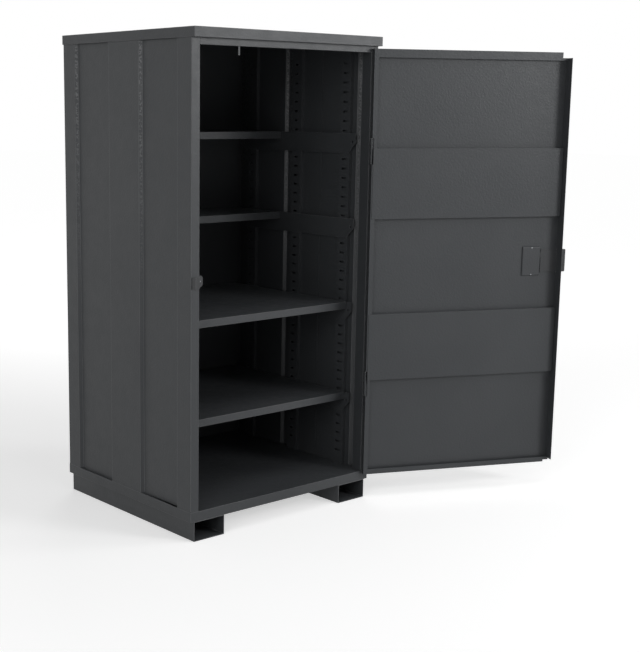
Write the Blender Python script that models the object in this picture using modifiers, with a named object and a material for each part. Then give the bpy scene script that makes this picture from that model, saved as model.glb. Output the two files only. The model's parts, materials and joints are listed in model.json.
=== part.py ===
"""Steel tool cabinet on fork skids, with slotted-in shelves and one wide door standing open.

Metres, +Z up. The front faces -Y and the hinges are on the right. Pieces are placed from the middle
of the roof's front edge, at floor level, and the whole cabinet is then set over the origin.
"""

import math

import bmesh
import bpy
from mathutils import Vector

# Cabinet body
CABINET_HEIGHT = 2.000
ROOF_WIDTH = 0.996
ROOF_DEPTH = 0.915
ROOF_RIM = 0.0384
ROOF_FRONT_OVERHANG = 0.022
ROOF_SIDE_OVERHANG = 0.0035
ROOF_REAR_OVERHANG = 0.0035
SHEET = 0.002
CLEARANCE = 0.0003
BASE_RIM = 0.0405
BASE_LEDGE = 0.0012

# Skids that take a truck's forks
SKID_HEIGHT = 0.0827
SKID_WIDTH = 0.155
SKID_INSET = 0.018
SKID_END_INSET = 0.0012
SKID_WALL = 0.003

# Front frame
POST_FACE = 0.039
POST_REVEAL = 0.051
RAIL_DROP = 0.0259
RAIL_RETURN = 0.030
STOP_TAB_WIDTH = 0.008
STOP_TAB_DROP = 0.0345
STOP_TAB_THICKNESS = 0.003
STOP_TAB_OFFSET = 0.265

# Pressed recesses in the side panels, one set back from the front and one forward from the rear
RECESS_DEPTH = 0.012
RECESS_SLOPE = 0.012
FRONT_RECESS_START = 0.089
FRONT_RECESS_WIDTH = 0.253
REAR_RECESS_WIDTH = 0.255
REAR_RECESS_MARGIN = 0.0845

# Slotted uprights
UPRIGHT_WIDTH = 0.060
UPRIGHT_DEPTH = 0.017
UPRIGHT_FLANGE = 0.116
FIRST_UPRIGHT = 0.1555
LAST_UPRIGHT = 0.118
UPRIGHT_ROWS = 3
SLOT_LENGTH = 0.027
SLOT_HEIGHT = 0.008
SLOT_PITCH = 0.0407
LOWEST_SLOT = 0.0626
TOP_SLOT_MARGIN = 0.080

# Shelves and their brackets
SHELF_LIP = 0.031
DEEP_SHELF_FRONT = 0.116
HALF_SHELF_FRONT = 0.564
SHELF_REAR_GAP = 0.0015
SHELF_SIDE_GAP = 0.0007
SHELF_SLOTS = {"lower_shelf": 6, "lower_middle_shelf": 16, "upper_middle_shelf": 25, "upper_shelf": 34}
DEEP_SHELVES = ("lower_shelf", "lower_middle_shelf")
BRACKET_SHEET = 0.0025
BRACKET_HEIGHT = 0.085
BRACKET_FRONT = 0.086
BRACKET_NOSE = 0.045
BRACKET_NOSE_DROP = 0.040
BRACKET_TAIL = 0.020
BRACKET_FLANGE = 0.035
BRACKET_HOOK_DROP = 0.030
BRACKET_HOLE_RADIUS = 0.0055
BRACKET_HOLE_BACK = 0.020
BRACKET_HOLE_DROP = 0.036
HOOK_SIDE_PLAY = 0.0015
HOOK_TOP_PLAY = 0.0015
HOOK_REACH = 0.0015

# Door
DOOR_SETBACK = 0.001
DOOR_THICKNESS = 0.0195
DOOR_SHEET = 0.002
DOOR_OPEN_ANGLE = 155.8
DOOR_TOP_OVERLAP = 0.0153
DOOR_BOTTOM_OVERLAP = 0.0118
DOOR_FREE_GAP = 0.0095
HINGE_OVERLAP = 0.0035
HINGE_EDGE = 0.001
TOP_LIP = 0.035
HINGE_LIP = 0.020
BOTTOM_LIP = 0.022
FREE_FLANGE = 0.050
FLANGE_TOP_GAP = 0.0077
FLANGE_BOTTOM_GAP = 0.0038
TOP_NOTCH_LENGTH = 0.029
TOP_NOTCH_HEIGHT = 0.024
BOTTOM_NOTCH_LENGTH = 0.025
BOTTOM_NOTCH_HEIGHT = 0.0086
BAND_SHEET = 0.0015
BAND_HINGE_START = 0.005
BAND_FREE_GAP = 0.004
BAND_LEG_INSET = 0.0003
UPPER_BAND_BOTTOM = 1.240
UPPER_BAND_HEIGHT = 0.299
LOWER_BAND_BOTTOM = 0.537
LOWER_BAND_HEIGHT = 0.291

# Hinges
HINGE_CENTRES = {"lower": 0.521, "upper": 1.527}
HINGE_HEIGHT = 0.105
BARREL_RADIUS = 0.0055
PIN_RADIUS = 0.003
PIN_STAND_OUT = 0.002
RUNNING_GAP = 0.00005
HINGE_NOTCH_DEPTH = 0.007
HINGE_NOTCH_MARGIN = 0.003
HINGE_LEAF = 0.003
HINGE_LEAF_REACH = 0.023
DOOR_LEAF_REACH = 0.0187
DOOR_LEAF = 0.0047

# Lock, bolt and keeper
LOCK_HEIGHT = 1.040
LOCK_SETBACK = 0.128
LOCK_COVER_WIDTH = 0.089
LOCK_COVER_HEIGHT = 0.131
LOCK_COVER_DEPTH = 0.006
LOCK_COVER_SHEET = 0.0015
COVER_SCREW_INSET = 0.006
SCREW_HEAD_RADIUS = 0.0032
SCREW_HEAD_HEIGHT = 0.002
SCREW_SHANK_RADIUS = 0.0016
BOLT_DEPTH = 0.0026
BOLT_THICKNESS = 0.0025
BOLT_STRAP_HEIGHT = 0.024
BOLT_STRAP_TAIL = 0.017
BOLT_HEAD_HEIGHT = 0.102
BOLT_REACH = 0.042
BOLT_CORNER = 0.005
BOLT_PLAY = 0.0015
WHEEL_RADIUS = 0.0146
SPINDLE_RADIUS = 0.005
SPINDLE_DEPTH = 0.0062
KEEPER_HEIGHT = 0.046
KEEPER_ON_POST = 0.0365
KEEPER_IN_OPENING = 0.041
KEEPER_STOP_GAP = 0.001
KEEPER_FRONT_LIP = 0.010
KEEPER_SCREW_REACH = 0.027

# Handle on the door's outer face
HANDLE_PLATE_WIDTH = 0.056
HANDLE_PLATE_HEIGHT = 0.130
HANDLE_PLATE_THICKNESS = 0.004
HANDLE_HUB_RADIUS = 0.011
HANDLE_HUB_LENGTH = 0.024
HANDLE_BAR_LENGTH = 0.110
HANDLE_BAR_WIDTH = 0.018
HANDLE_BAR_THICKNESS = 0.010
HANDLE_BEVEL = 0.003
KEY_DROP = 0.038
KEY_RADIUS = 0.008
KEY_STAND_OUT = 0.003
KEY_LENGTH = 0.0135
KEYWAY_LENGTH = 0.008
KEYWAY_WIDTH = 0.0018
KEYWAY_DEPTH = 0.006

ROUND_SIDES = 24
CORNER_STEPS = 6
SMOOTH_ANGLE = 40
CUT_MARGIN = 0.001

# Finishes: colour, roughness and metallic
CHARCOAL_COAT = ((0.060, 0.063, 0.066), 0.55, 0.0)
DARK_COAT = ((0.045, 0.047, 0.049), 0.5, 0.0)
ZINC = ((0.55, 0.56, 0.57), 0.35, 1.0)

# Places that several pieces share
BODY_HALF = ROOF_WIDTH / 2 - ROOF_SIDE_OVERHANG
BODY_FRONT = ROOF_FRONT_OVERHANG
BODY_REAR = ROOF_DEPTH - ROOF_REAR_OVERHANG
BASE_TOP = SKID_HEIGHT + BASE_RIM
BODY_BOTTOM = BASE_TOP + CLEARANCE
BODY_TOP = CABINET_HEIGHT - SHEET - CLEARANCE
BODY_HEIGHTS = (BODY_BOTTOM, BODY_TOP)
POST_EDGE = BODY_HALF - POST_FACE
SIDE_INNER = BODY_HALF - SHEET
BACK_FRONT = BODY_REAR - SHEET
RAIL_BOTTOM = CABINET_HEIGHT - ROOF_RIM - RAIL_DROP
PRESSED_WALL = SIDE_INNER - RECESS_DEPTH
UPRIGHT_FACE = PRESSED_WALL - CLEARANCE - UPRIGHT_DEPTH
BRACKET_OUTER = UPRIGHT_FACE - CLEARANCE
BRACKET_INNER = BRACKET_OUTER - BRACKET_SHEET
REAR_RECESS_START = BODY_REAR - REAR_RECESS_MARGIN - REAR_RECESS_WIDTH - BODY_FRONT
UPRIGHT_SPAN = BODY_REAR - LAST_UPRIGHT - BODY_FRONT - FIRST_UPRIGHT
UPRIGHT_PITCH = UPRIGHT_SPAN / (UPRIGHT_ROWS - 1)
UPRIGHT_CENTRES = [BODY_FRONT + FIRST_UPRIGHT + row * UPRIGHT_PITCH for row in range(UPRIGHT_ROWS)]
HINGE_X = POST_EDGE + HINGE_OVERLAP
HINGE_DEPTH = DOOR_THICKNESS / 2
HINGE_Y = DOOR_SETBACK + HINGE_DEPTH
DOOR_REACH = HINGE_X + POST_EDGE - DOOR_FREE_GAP
DOOR_BOTTOM = BASE_TOP - DOOR_BOTTOM_OVERLAP
DOOR_TOP = RAIL_BOTTOM + DOOR_TOP_OVERLAP
LOCK_REACH = DOOR_REACH - LOCK_SETBACK
BOLT_SPAN = (BOLT_DEPTH, BOLT_DEPTH + BOLT_THICKNESS)
KEY_HEIGHT = LOCK_HEIGHT - KEY_DROP

parts = []


def clear_scene():
    """Empty the file that the script runs in."""
    for leftover in list(bpy.data.objects):
        bpy.data.objects.remove(leftover, do_unlink=True)


def new_collection(name):
    """Add a collection to the scene."""
    collection = bpy.data.collections.new(name)
    bpy.context.scene.collection.children.link(collection)
    return collection


def new_empty(name, parent=None, location=(0, 0, 0)):
    """An axis or origin that pieces hang from."""
    empty = bpy.data.objects.new(name, None)
    empty.parent = parent
    empty.location = location
    part_collection.objects.link(empty)
    return empty


def finish(name, colour, roughness, metallic):
    """One Principled material for one piece."""
    look = bpy.data.materials.new(name)
    look.use_nodes = True
    shader = look.node_tree.nodes["Principled BSDF"]
    shader.inputs["Base Color"].default_value = (*colour, 1)
    shader.inputs["Roughness"].default_value = roughness
    shader.inputs["Metallic"].default_value = metallic
    return look


def mesh_of(shape):
    """Close a bmesh into a mesh with its faces pointing out."""
    shape.normal_update()
    bmesh.ops.recalc_face_normals(shape, faces=shape.faces)
    mesh = bpy.data.meshes.new("shape")
    shape.to_mesh(mesh)
    shape.free()
    return mesh


def box(low, high):
    """A block between two corners."""
    shape = bmesh.new()
    low = Vector(low)
    size = Vector(high) - low
    bmesh.ops.create_cube(shape, size=1)
    bmesh.ops.translate(shape, verts=shape.verts, vec=(0.5, 0.5, 0.5))
    bmesh.ops.scale(shape, verts=shape.verts, vec=size)
    bmesh.ops.translate(shape, verts=shape.verts, vec=low)
    return mesh_of(shape)


def rod(radius, centre, axis, start, end):
    """A round bar along X, Y or Z, with its centre given in the other two directions."""
    shape = bmesh.new()
    bmesh.ops.create_cone(
        shape, cap_ends=True, segments=ROUND_SIDES, radius1=radius, radius2=radius, depth=end - start
    )
    middle = (start + end) / 2
    for vert in shape.verts:
        x, y, z = vert.co
        if axis == "X":
            vert.co = (z + middle, x + centre[0], y + centre[1])
        elif axis == "Y":
            vert.co = (x + centre[0], z + middle, y + centre[1])
        else:
            vert.co = (x + centre[0], y + centre[1], z + middle)
    return mesh_of(shape)


def prism(outline, axis, start, end):
    """A flat outline in the other two directions, drawn out along X, Y or Z."""
    shape = bmesh.new()
    verts = []
    for a, b in outline:
        place = {"X": (start, a, b), "Y": (a, start, b), "Z": (a, b, start)}[axis]
        verts.append(shape.verts.new(place))
    face = shape.faces.new(verts)
    drawn = bmesh.ops.extrude_face_region(shape, geom=[face])["geom"]
    along = Vector({"X": (1, 0, 0), "Y": (0, 1, 0), "Z": (0, 0, 1)}[axis]) * (end - start)
    moved = [item for item in drawn if isinstance(item, bmesh.types.BMVert)]
    bmesh.ops.translate(shape, verts=moved, vec=along)
    return mesh_of(shape)


def folded(path, thickness):
    """Outline of a folded sheet: path is one face, and the thickness lies on its left."""
    path = [Vector(point) for point in path]
    lefts = []
    for here, there in zip(path, path[1:]):
        run = (there - here).normalized()
        lefts.append(Vector((-run.y, run.x)))
    inner = []
    for index, point in enumerate(path):
        before = lefts[max(index - 1, 0)]
        after = lefts[min(index, len(lefts) - 1)]
        inner.append(point + (before + after) * thickness / (1 + before.dot(after)))
    return [tuple(point) for point in path + inner[::-1]]


def mirrored(outline, side):
    """Outline for the right side (1) or the left side (-1)."""
    return [(side * a, b) for a, b in outline]


def add_part(name, mesh, parent, coat=CHARCOAL_COAT):
    """Put one named piece into the cabinet's collection."""
    mesh.name = name
    mesh.materials.append(finish(name + "_finish", *coat))
    piece = bpy.data.objects.new(name, mesh)
    piece.parent = parent
    part_collection.objects.link(piece)
    parts.append(piece)
    return piece


def smooth(piece):
    """Shade a round piece smooth between its sharp edges."""
    piece.data.shade_smooth()
    piece.data.set_sharp_from_angle(angle=math.radians(SMOOTH_ANGLE))


def apply_tool(piece, mesh, operation):
    """Cut or join a shape with a hidden helper object that rides on the same parent."""
    helper = bpy.data.objects.new(f"{piece.name}_{operation.lower()}_{len(piece.modifiers)}", mesh)
    helper.parent = piece.parent
    helper.hide_render = True
    helper.display_type = "WIRE"
    cutter_collection.objects.link(helper)
    change = piece.modifiers.new(helper.name, "BOOLEAN")
    change.operation = operation
    change.solver = "EXACT"
    change.object = helper
    return helper


def cut(piece, mesh):
    """Take a shape out of a piece."""
    return apply_tool(piece, mesh, "DIFFERENCE")


def join(piece, mesh):
    """Weld a shape onto a piece."""
    return apply_tool(piece, mesh, "UNION")


def folded_tray(name, low, high, open_sides, thickness, parent):
    """A box of sheet with some sides left open, its thickness inside the given corners."""
    mesh = box(low, high)
    shape = bmesh.new()
    shape.from_mesh(mesh)
    gone = [face for face in shape.faces if face.normal.to_tuple(0) in open_sides]
    bmesh.ops.delete(shape, geom=gone, context="FACES")
    shape.to_mesh(mesh)
    shape.free()
    tray = add_part(name, mesh, parent)
    wall = tray.modifiers.new("sheet", "SOLIDIFY")
    wall.thickness = thickness
    wall.offset = -1
    wall.use_even_offset = True
    return tray


def make_roof_and_base(root):
    """The two trays that close the cabinet, and the skids under it."""
    roof_half = ROOF_WIDTH / 2
    roof_low = (-roof_half, 0, CABINET_HEIGHT - ROOF_RIM)
    folded_tray("roof_cap", roof_low, (roof_half, ROOF_DEPTH, CABINET_HEIGHT), [(0, 0, -1)], SHEET, root)
    base_half = BODY_HALF + BASE_LEDGE
    base_low = (-base_half, BODY_FRONT - BASE_LEDGE, SKID_HEIGHT)
    base_high = (base_half, BODY_REAR + BASE_LEDGE, BASE_TOP)
    folded_tray("base_tray", base_low, base_high, [(0, 0, -1)], SHEET, root)
    for side, name in ((-1, "left_skid"), (1, "right_skid")):
        edges = sorted((side * (base_half - SKID_INSET), side * (base_half - SKID_INSET - SKID_WIDTH)))
        low = (edges[0], base_low[1] + SKID_END_INSET, 0)
        high = (edges[1], base_high[1] - SKID_END_INSET, SKID_HEIGHT - CLEARANCE)
        folded_tray(name, low, high, [(0, -1, 0), (0, 1, 0)], SKID_WALL, root)


def recess_points(start, width):
    """Corners of one pressed recess along the outside of a side panel."""
    front = BODY_FRONT + start
    rear = front + width
    deep = BODY_HALF - RECESS_DEPTH
    return [
        (BODY_HALF, front),
        (deep, front + RECESS_SLOPE),
        (deep, rear - RECESS_SLOPE),
        (BODY_HALF, rear),
    ]


def wall_at(y):
    """Inner face of a side panel at one depth."""
    for start, width in ((FRONT_RECESS_START, FRONT_RECESS_WIDTH), (REAR_RECESS_START, REAR_RECESS_WIDTH)):
        front = BODY_FRONT + start + RECESS_SLOPE
        rear = BODY_FRONT + start + width - RECESS_SLOPE
        if front <= y <= rear:
            return PRESSED_WALL
    return SIDE_INNER


def make_walls(root):
    """Side panels with their pressed recesses, the back panel, the front posts and the top rail."""
    front_edge = BODY_FRONT + SHEET + CLEARANCE
    rear_edge = BACK_FRONT - CLEARANCE
    panel_path = [(BODY_HALF, front_edge)]
    panel_path += recess_points(FRONT_RECESS_START, FRONT_RECESS_WIDTH)
    panel_path += recess_points(REAR_RECESS_START, REAR_RECESS_WIDTH)
    panel_path.append((BODY_HALF, rear_edge))
    post_rear = BODY_FRONT + POST_REVEAL
    post_path = [
        (SIDE_INNER - CLEARANCE, post_rear),
        (POST_EDGE, post_rear),
        (POST_EDGE, BODY_FRONT),
        (BODY_HALF, BODY_FRONT),
    ]
    for side, word in ((-1, "left"), (1, "right")):
        panel = mirrored(folded(panel_path, SHEET), side)
        add_part(f"{word}_side_panel", prism(panel, "Z", *BODY_HEIGHTS), root)
        post = mirrored(folded(post_path, SHEET), side)
        add_part(f"{word}_front_post", prism(post, "Z", *BODY_HEIGHTS), root)
    back = box((-BODY_HALF, BACK_FRONT, BODY_BOTTOM), (BODY_HALF, BODY_REAR, BODY_TOP))
    add_part("back_panel", back, root)
    rail_path = [(BODY_FRONT, BODY_TOP), (BODY_FRONT, RAIL_BOTTOM), (BODY_FRONT + RAIL_RETURN, RAIL_BOTTOM)]
    rail_half = POST_EDGE - CLEARANCE
    add_part("top_rail", prism(folded(rail_path, SHEET), "X", -rail_half, rail_half), root)
    tab_top = RAIL_BOTTOM - CLEARANCE
    tab_low = (-STOP_TAB_OFFSET - STOP_TAB_WIDTH / 2, BODY_FRONT, tab_top - STOP_TAB_DROP)
    tab_high = (-STOP_TAB_OFFSET + STOP_TAB_WIDTH / 2, BODY_FRONT + STOP_TAB_THICKNESS, tab_top)
    add_part("door_stop_tab", box(tab_low, tab_high), root)


def slot_height(index):
    """Middle of one slot of the uprights."""
    return BASE_TOP + LOWEST_SLOT + index * SLOT_PITCH


def make_uprights(root):
    """Slotted channels on the inner walls; one between recesses has a flange forward to the pressed wall."""
    slot_room = BODY_TOP - TOP_SLOT_MARGIN - slot_height(0)
    slot_count = int(slot_room / SLOT_PITCH) + 1
    for row, middle in enumerate(UPRIGHT_CENTRES, start=1):
        front = middle - UPRIGHT_WIDTH / 2
        rear = middle + UPRIGHT_WIDTH / 2
        seat = wall_at(middle) - CLEARANCE
        path = [(seat, rear), (UPRIGHT_FACE, rear), (UPRIGHT_FACE, front)]
        if wall_at(middle) == PRESSED_WALL:
            path.append((seat, front))
        else:
            flange = PRESSED_WALL - CLEARANCE - SHEET
            path += [(flange, front), (flange, front - UPRIGHT_FLANGE)]
        for side, word in ((-1, "left"), (1, "right")):
            outline = mirrored(folded(path, SHEET), side)
            upright = add_part(f"{word}_upright_{row}", prism(outline, "Z", *BODY_HEIGHTS), root)
            across = sorted((side * (UPRIGHT_FACE - CUT_MARGIN), side * (UPRIGHT_FACE + SHEET + CUT_MARGIN)))
            slot_low = (across[0], middle - SLOT_LENGTH / 2, slot_height(0) - SLOT_HEIGHT / 2)
            slot_high = (across[1], middle + SLOT_LENGTH / 2, slot_height(0) + SLOT_HEIGHT / 2)
            slots = cut(upright, box(slot_low, slot_high))
            column = slots.modifiers.new("column", "ARRAY")
            column.count = slot_count
            column.use_relative_offset = False
            column.use_constant_offset = True
            column.constant_offset_displace = (0, 0, SLOT_PITCH)


def make_bracket(name, side, slot, shelf_front, root):
    """Shelf bracket: a web hooked into three uprights, and a flange under the shelf."""
    top = slot_height(slot) + BRACKET_HOOK_DROP
    bottom = top - BRACKET_HEIGHT
    front = BODY_FRONT + BRACKET_FRONT
    rear = UPRIGHT_CENTRES[-1] + UPRIGHT_WIDTH / 2 + BRACKET_TAIL
    web_outline = [
        (front, top),
        (front, top - BRACKET_NOSE_DROP),
        (front + BRACKET_NOSE, bottom),
        (rear, bottom),
        (rear, top),
    ]
    web = sorted((side * BRACKET_INNER, side * BRACKET_OUTER))
    bracket = add_part(name, prism(web_outline, "X", *web), root)
    web_middle = (BRACKET_INNER + BRACKET_OUTER) / 2
    flange = sorted((side * (BRACKET_INNER - BRACKET_FLANGE), side * web_middle))
    flange_top = top - SHEET - CLEARANCE
    flange_front = shelf_front + SHEET + CLEARANCE
    join(bracket, box((flange[0], flange_front, flange_top - BRACKET_SHEET), (flange[1], rear, flange_top)))
    hook_low = slot_height(slot) - SLOT_HEIGHT / 2 + CLEARANCE
    hook_high = slot_height(slot) + SLOT_HEIGHT / 2 - HOOK_TOP_PLAY
    hook = sorted((side * web_middle, side * (UPRIGHT_FACE + SHEET + HOOK_REACH)))
    hook_half = SLOT_LENGTH / 2 - HOOK_SIDE_PLAY
    for middle in UPRIGHT_CENTRES:
        join(bracket, box((hook[0], middle - hook_half, hook_low), (hook[1], middle + hook_half, hook_high)))
    hole_place = (front + BRACKET_HOLE_BACK, top - BRACKET_HOLE_DROP)
    hole = sorted((side * (BRACKET_INNER - CUT_MARGIN), side * (BRACKET_OUTER + CUT_MARGIN)))
    cut(bracket, rod(BRACKET_HOLE_RADIUS, hole_place, "X", *hole))


def make_shelves(root):
    """Shelves with turned-down front and rear lips, each on a left and a right bracket."""
    half = BRACKET_INNER - SHELF_SIDE_GAP
    rear = BACK_FRONT - SHELF_REAR_GAP
    for name, slot in SHELF_SLOTS.items():
        top = slot_height(slot) + BRACKET_HOOK_DROP
        front = BODY_FRONT + (DEEP_SHELF_FRONT if name in DEEP_SHELVES else HALF_SHELF_FRONT)
        lip = top - SHELF_LIP
        path = [(rear, lip), (rear, top), (front, top), (front, lip)]
        add_part(name, prism(folded(path, SHEET), "X", -half, half), root)
        for side, word in ((-1, "left"), (1, "right")):
            make_bracket(f"{name}_{word}_bracket", side, slot, front, root)


def door_box(reach, depth, height):
    """A block on the door: reach from the hinge axis, depth behind the outer face, height from the floor."""
    low = (-reach[1], depth[0] - HINGE_DEPTH, height[0])
    high = (-reach[0], depth[1] - HINGE_DEPTH, height[1])
    return box(low, high)


def door_rod(radius, reach, height, depth):
    """A round bar square to the door."""
    return rod(radius, (-reach, height), "Y", depth[0] - HINGE_DEPTH, depth[1] - HINGE_DEPTH)


def make_door_pan(door):
    """Folded door: outer skin, walls, return lips and a deep flange on the free edge."""
    pan_reach = (-HINGE_EDGE, DOOR_REACH)
    pan_mesh = door_box(pan_reach, (0, DOOR_THICKNESS), (DOOR_BOTTOM, DOOR_TOP))
    pan = add_part("door_pan", pan_mesh, door)
    inner = DOOR_REACH - DOOR_SHEET
    hollow_reach = (DOOR_SHEET - HINGE_EDGE, inner)
    hollow_depth = (DOOR_SHEET, DOOR_THICKNESS - DOOR_SHEET)
    hollow_height = (DOOR_BOTTOM + DOOR_SHEET, DOOR_TOP - DOOR_SHEET)
    cut(pan, door_box(hollow_reach, hollow_depth, hollow_height))
    window_reach = (HINGE_LIP - HINGE_EDGE, inner)
    window_depth = (DOOR_THICKNESS / 2, DOOR_THICKNESS + CUT_MARGIN)
    cut(pan, door_box(window_reach, window_depth, (DOOR_BOTTOM + BOTTOM_LIP, DOOR_TOP - TOP_LIP)))
    flange_height = (BASE_TOP + FLANGE_BOTTOM_GAP, RAIL_BOTTOM - FLANGE_TOP_GAP)
    join(pan, door_box((inner, DOOR_REACH), (DOOR_THICKNESS / 2, FREE_FLANGE), flange_height))
    past = DOOR_REACH + CUT_MARGIN
    through = (-CUT_MARGIN, FREE_FLANGE + CUT_MARGIN)
    high_notch = (DOOR_TOP - TOP_NOTCH_HEIGHT, DOOR_TOP + CUT_MARGIN)
    cut(pan, door_box((DOOR_REACH - TOP_NOTCH_LENGTH, past), through, high_notch))
    low_notch = (DOOR_BOTTOM - CUT_MARGIN, DOOR_BOTTOM + BOTTOM_NOTCH_HEIGHT)
    cut(pan, door_box((DOOR_REACH - BOTTOM_NOTCH_LENGTH, past), through, low_notch))
    head_half = BOLT_HEAD_HEIGHT / 2 + BOLT_PLAY
    gate_height = (LOCK_HEIGHT - head_half, LOCK_HEIGHT + head_half)
    gate_depth = (DOOR_SHEET + CLEARANCE, BOLT_SPAN[1] + BOLT_PLAY)
    cut(pan, door_box((inner - CUT_MARGIN, past), gate_depth, gate_height))
    notch_half = HINGE_HEIGHT / 2 + HINGE_NOTCH_MARGIN
    for centre in HINGE_CENTRES.values():
        notch_reach = (-HINGE_EDGE - CUT_MARGIN, HINGE_NOTCH_DEPTH)
        cut(pan, door_box(notch_reach, through, (centre - notch_half, centre + notch_half)))
    skin = (-CUT_MARGIN, DOOR_SHEET + CUT_MARGIN)
    cut(pan, door_rod(SPINDLE_RADIUS + CUT_MARGIN, LOCK_REACH, LOCK_HEIGHT, skin))
    cut(pan, door_rod(KEY_RADIUS + CLEARANCE, LOCK_REACH, KEY_HEIGHT, skin))


def make_bands(door):
    """Two wide stiffening bands that lie on the hinge lip and stand on the skin."""
    bands = (
        ("lower_band", LOWER_BAND_BOTTOM, LOWER_BAND_HEIGHT),
        ("upper_band", UPPER_BAND_BOTTOM, UPPER_BAND_HEIGHT),
    )
    face = (DOOR_THICKNESS + CLEARANCE, DOOR_THICKNESS + CLEARANCE + BAND_SHEET)
    end = DOOR_REACH - BAND_FREE_GAP
    leg_reach = (HINGE_LIP - HINGE_EDGE + CLEARANCE, end - BAND_LEG_INSET)
    leg_depth = (DOOR_SHEET + CLEARANCE, face[0] + BAND_SHEET / 2)
    for name, bottom, height in bands:
        top = bottom + height
        band = add_part(name, door_box((BAND_HINGE_START, end), face, (bottom, top)), door)
        low_leg = bottom + BAND_LEG_INSET
        high_leg = top - BAND_LEG_INSET
        join(band, door_box(leg_reach, leg_depth, (low_leg, low_leg + BAND_SHEET)))
        join(band, door_box(leg_reach, leg_depth, (high_leg - BAND_SHEET, high_leg)))


def make_hinges(root, door):
    """Two barrel hinges: a knuckle on the right post, a knuckle on the door and a pin through both."""
    bore = PIN_RADIUS + RUNNING_GAP
    post_face = BODY_FRONT - HINGE_Y - CLEARANCE
    leaf = [
        (0, RUNNING_GAP),
        (HINGE_NOTCH_DEPTH, RUNNING_GAP),
        (HINGE_NOTCH_DEPTH, post_face - HINGE_LEAF),
        (HINGE_LEAF_REACH, post_face - HINGE_LEAF),
        (HINGE_LEAF_REACH, post_face),
        (0, post_face),
    ]
    post_leaf = [(HINGE_X + x, HINGE_Y + y) for x, y in leaf]
    for word, centre in HINGE_CENTRES.items():
        low = centre - HINGE_HEIGHT / 2
        high = centre + HINGE_HEIGHT / 2
        seam_low = centre - CLEARANCE / 2
        seam_high = centre + CLEARANCE / 2
        axis = (HINGE_X, HINGE_Y)
        post_barrel = rod(BARREL_RADIUS, axis, "Z", low, seam_low)
        post_knuckle = add_part(f"{word}_hinge_post_knuckle", post_barrel, root)
        join(post_knuckle, prism(post_leaf, "Z", low + CLEARANCE, seam_low - CLEARANCE))
        cut(post_knuckle, rod(bore, axis, "Z", low - CUT_MARGIN, seam_low + CUT_MARGIN))
        smooth(post_knuckle)
        door_barrel = rod(BARREL_RADIUS, (0, 0), "Z", seam_high, high)
        door_knuckle = add_part(f"{word}_hinge_door_knuckle", door_barrel, door)
        leaf_depth = (DOOR_SHEET + CLEARANCE, DOOR_SHEET + CLEARANCE + DOOR_LEAF)
        leaf_height = (seam_high + CLEARANCE, high - CLEARANCE)
        join(door_knuckle, door_box((0, DOOR_LEAF_REACH), leaf_depth, leaf_height))
        cut(door_knuckle, rod(bore, (0, 0), "Z", seam_high - CUT_MARGIN, high + CUT_MARGIN))
        smooth(door_knuckle)
        pin_mesh = rod(PIN_RADIUS, axis, "Z", low - PIN_STAND_OUT, high + PIN_STAND_OUT)
        smooth(add_part(f"{word}_hinge_pin", pin_mesh, root, ZINC))


def bolt_outline():
    """Sliding bolt: a strap over the drive wheel, and a tall head with rounded corners."""
    strap_bottom = LOCK_HEIGHT + WHEEL_RADIUS + CLEARANCE
    strap_top = strap_bottom + BOLT_STRAP_HEIGHT
    tail = LOCK_REACH - BOLT_STRAP_TAIL
    nose = DOOR_REACH + BOLT_REACH
    neck = LOCK_REACH + LOCK_COVER_WIDTH / 2 + BOLT_PLAY
    head_top = LOCK_HEIGHT + BOLT_HEAD_HEIGHT / 2
    head_bottom = LOCK_HEIGHT - BOLT_HEAD_HEIGHT / 2
    low_corner = []
    high_corner = []
    for step in range(CORNER_STEPS + 1):
        turn = math.radians(90) * step / CORNER_STEPS
        reach = nose - BOLT_CORNER + BOLT_CORNER * math.sin(turn)
        rise = BOLT_CORNER - BOLT_CORNER * math.cos(turn)
        low_corner.append((reach, head_bottom + rise))
        high_corner.append((reach, head_top - rise))
    outline = [(tail, strap_bottom), (neck, strap_bottom), (neck, head_bottom)]
    outline += low_corner + high_corner[::-1]
    outline += [(neck, head_top), (neck, strap_top), (tail, strap_top)]
    return [(-reach, height) for reach, height in outline]


def make_screw(name, radial, depth, parent, shank_end, facing):
    """Pan-head screw along Y: depth is under its head, facing is where the head points."""
    head = sorted((depth, depth + facing * SCREW_HEAD_HEIGHT))
    shank = sorted((depth + facing * SCREW_HEAD_HEIGHT / 2, shank_end))
    screw = add_part(name, rod(SCREW_HEAD_RADIUS, radial, "Y", *head), parent, ZINC)
    join(screw, rod(SCREW_SHANK_RADIUS, radial, "Y", *shank))
    smooth(screw)


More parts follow.
